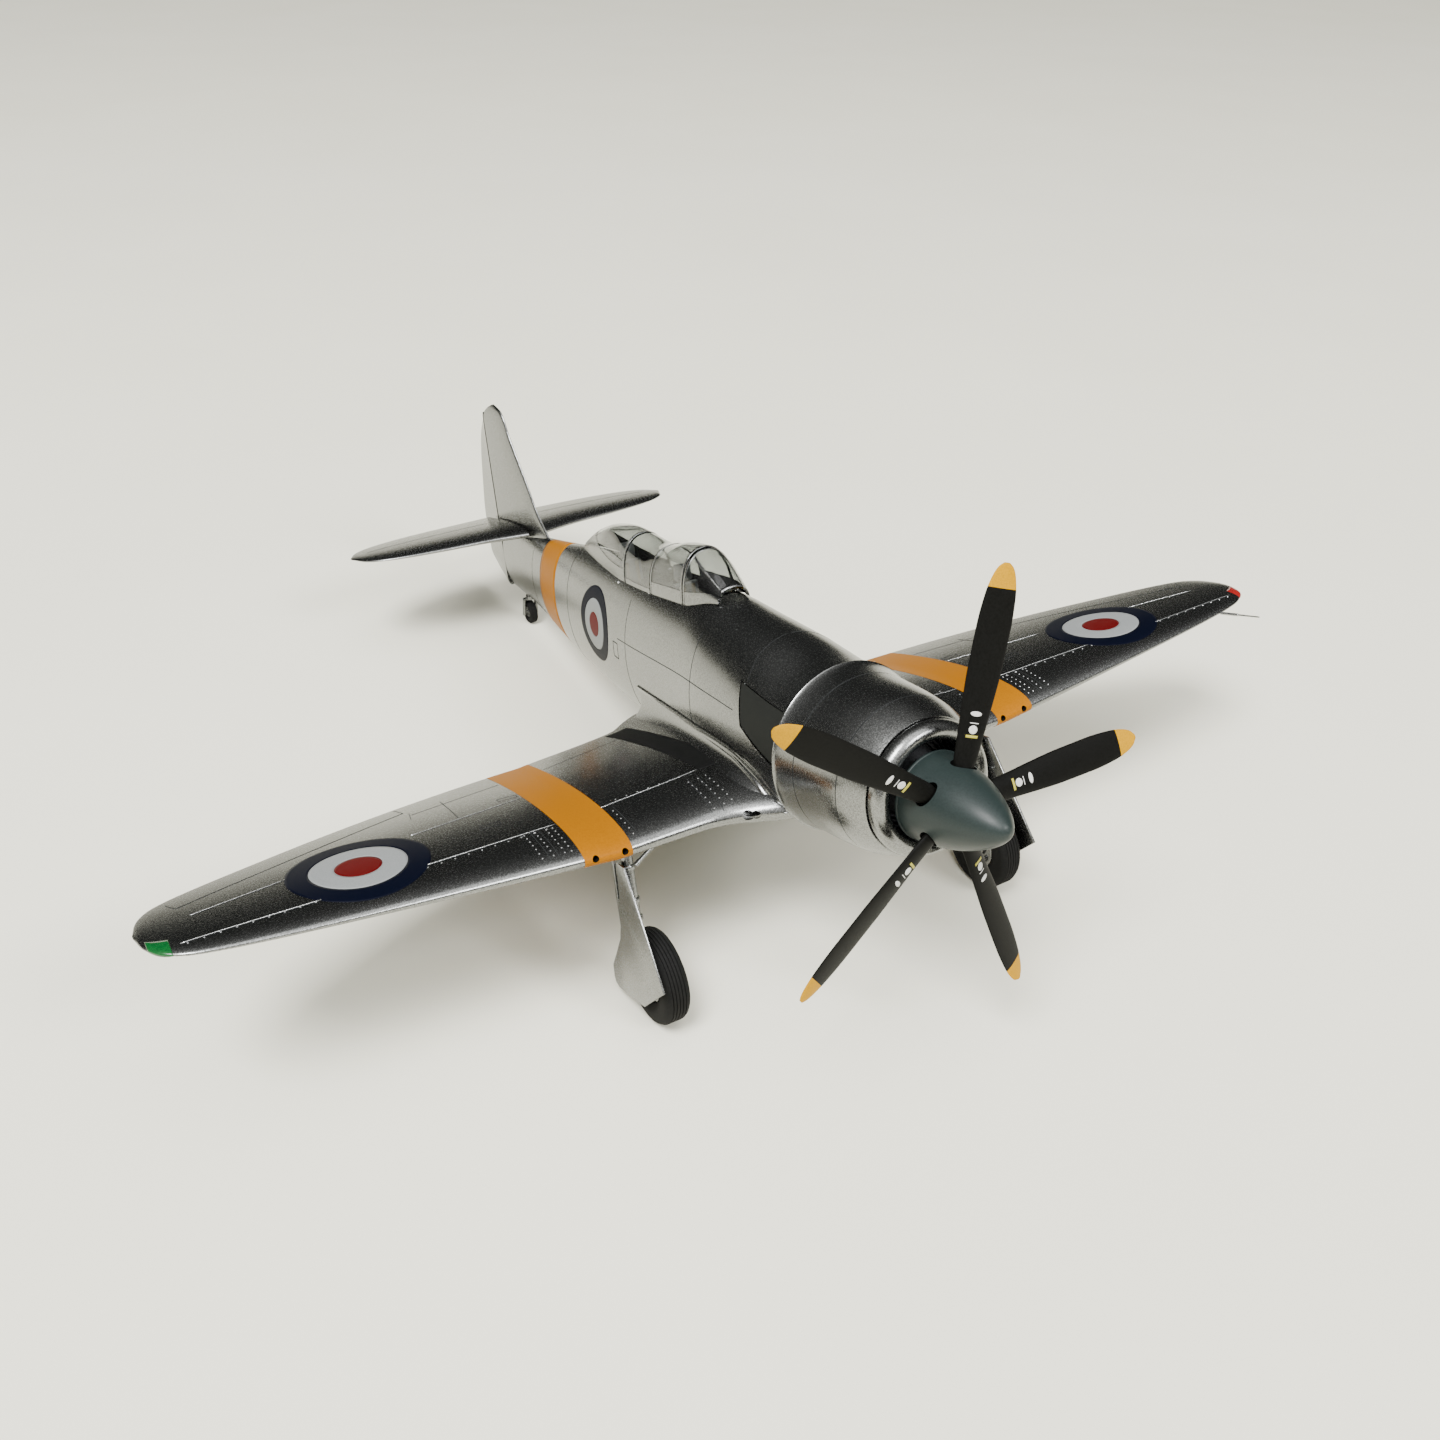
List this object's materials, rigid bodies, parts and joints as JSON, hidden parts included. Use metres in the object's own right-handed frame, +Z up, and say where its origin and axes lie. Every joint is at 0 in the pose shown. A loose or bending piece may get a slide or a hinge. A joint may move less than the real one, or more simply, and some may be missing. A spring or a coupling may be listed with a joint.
{
  "type": "propeller aircraft display model",
  "caption": "Scale display model of a low-wing, radial-engined two-seat fighter trainer with a spinning propeller, clear canopy and rolling tail-dragger wheels.",
  "frame": {"origin": "centre of the model's bounding box, on the surface its tyres stand on", "axes": "+X to the port wing tip, +Y from nose to tail, +Z up from the surface"},
  "size_m": [0.2432, 0.219, 0.0923],
  "materials": {
    "silver_paint": "satin metal-flake silver paint over moulded plastic, with engraved panel lines, roundels and yellow bands",
    "spinner_grey": "matt dark blue-grey paint",
    "propeller_black": "satin black paint with yellow tips and small root markings",
    "bare_metal": "bright turned metal",
    "engine_grey": "dark metallic grey paint",
    "exhaust_black": "matt black",
    "cockpit_black": "matt black",
    "seat_grey": "matt light grey",
    "canopy_clear": "clear polished plastic with painted frames",
    "tyre_rubber": "matt black",
    "light_red": "gloss red",
    "light_green": "gloss green"
  },
  "bodies": {
    "airframe": {"fuselage_left": "silver_paint", "fuselage_right": "silver_paint", "fin": "silver_paint", "rudder": "silver_paint", "wing_upper_left": "silver_paint", "wing_upper_right": "silver_paint", "wing_lower_left": "silver_paint", "wing_lower_right": "silver_paint", "tailplane_left": "silver_paint", "tailplane_right": "silver_paint", "engine_cowling": "silver_paint", "cowl_front_ring": "silver_paint", "main_leg_left": "silver_paint", "main_leg_right": "silver_paint", "side_strut_left": "silver_paint", "side_strut_right": "silver_paint", "leg_door_left": "silver_paint", "leg_door_right": "silver_paint", "tail_wheel_fork": "silver_paint", "axle_left": "bare_metal", "axle_right": "bare_metal", "tail_wheel_axle": "bare_metal", "pitot_tube": "bare_metal", "radial_engine": "engine_grey", "firewall": "engine_grey", "exhaust_panel_left": "exhaust_black", "exhaust_panel_right": "exhaust_black", "cockpit_tub": "cockpit_black", "front_instrument_panel": "cockpit_black", "rear_instrument_panel": "cockpit_black", "front_control_stick": "cockpit_black", "rear_control_stick": "cockpit_black", "front_seat": "seat_grey", "rear_seat": "seat_grey", "windscreen": "canopy_clear", "front_hood": "canopy_clear", "canopy_tunnel": "canopy_clear", "rear_hood": "canopy_clear", "navigation_light_left": "light_red", "navigation_light_right": "light_green"},
    "propeller": {"spinner": "spinner_grey", "spinner_backplate": "bare_metal", "propeller_hub": "bare_metal", "propeller_shaft": "bare_metal", "shaft_retainer": "bare_metal", "propeller_blade_1": "propeller_black", "propeller_blade_2": "propeller_black", "propeller_blade_3": "propeller_black", "propeller_blade_4": "propeller_black", "propeller_blade_5": "propeller_black"},
    "left_wheel": {"wheel_hub_left": "silver_paint", "tyre_left": "tyre_rubber"},
    "right_wheel": {"wheel_hub_right": "silver_paint", "tyre_right": "tyre_rubber"},
    "tail_wheel": {"wheel_hub_tail": "silver_paint", "tyre_tail": "tyre_rubber"}
  },
  "joints": [
    {"name": "propeller_spin", "type": "hinge", "parent": "airframe", "child": "propeller", "pos_m": [0, -0.09668, 0.05467], "axis": [0, -0.9714, 0.2374], "continuous": true},
    {"name": "left_wheel_roll", "type": "hinge", "parent": "airframe", "child": "left_wheel", "pos_m": [0.03938, -0.06618, 0.00915], "axis": [1, 0, 0], "continuous": true},
    {"name": "right_wheel_roll", "type": "hinge", "parent": "airframe", "child": "right_wheel", "pos_m": [-0.03938, -0.06618, 0.00915], "axis": [1, 0, 0], "continuous": true},
    {"name": "tail_wheel_roll", "type": "hinge", "parent": "airframe", "child": "tail_wheel", "pos_m": [0, 0.08089, 0.00323], "axis": [1, 0, 0], "continuous": true}
  ]
}
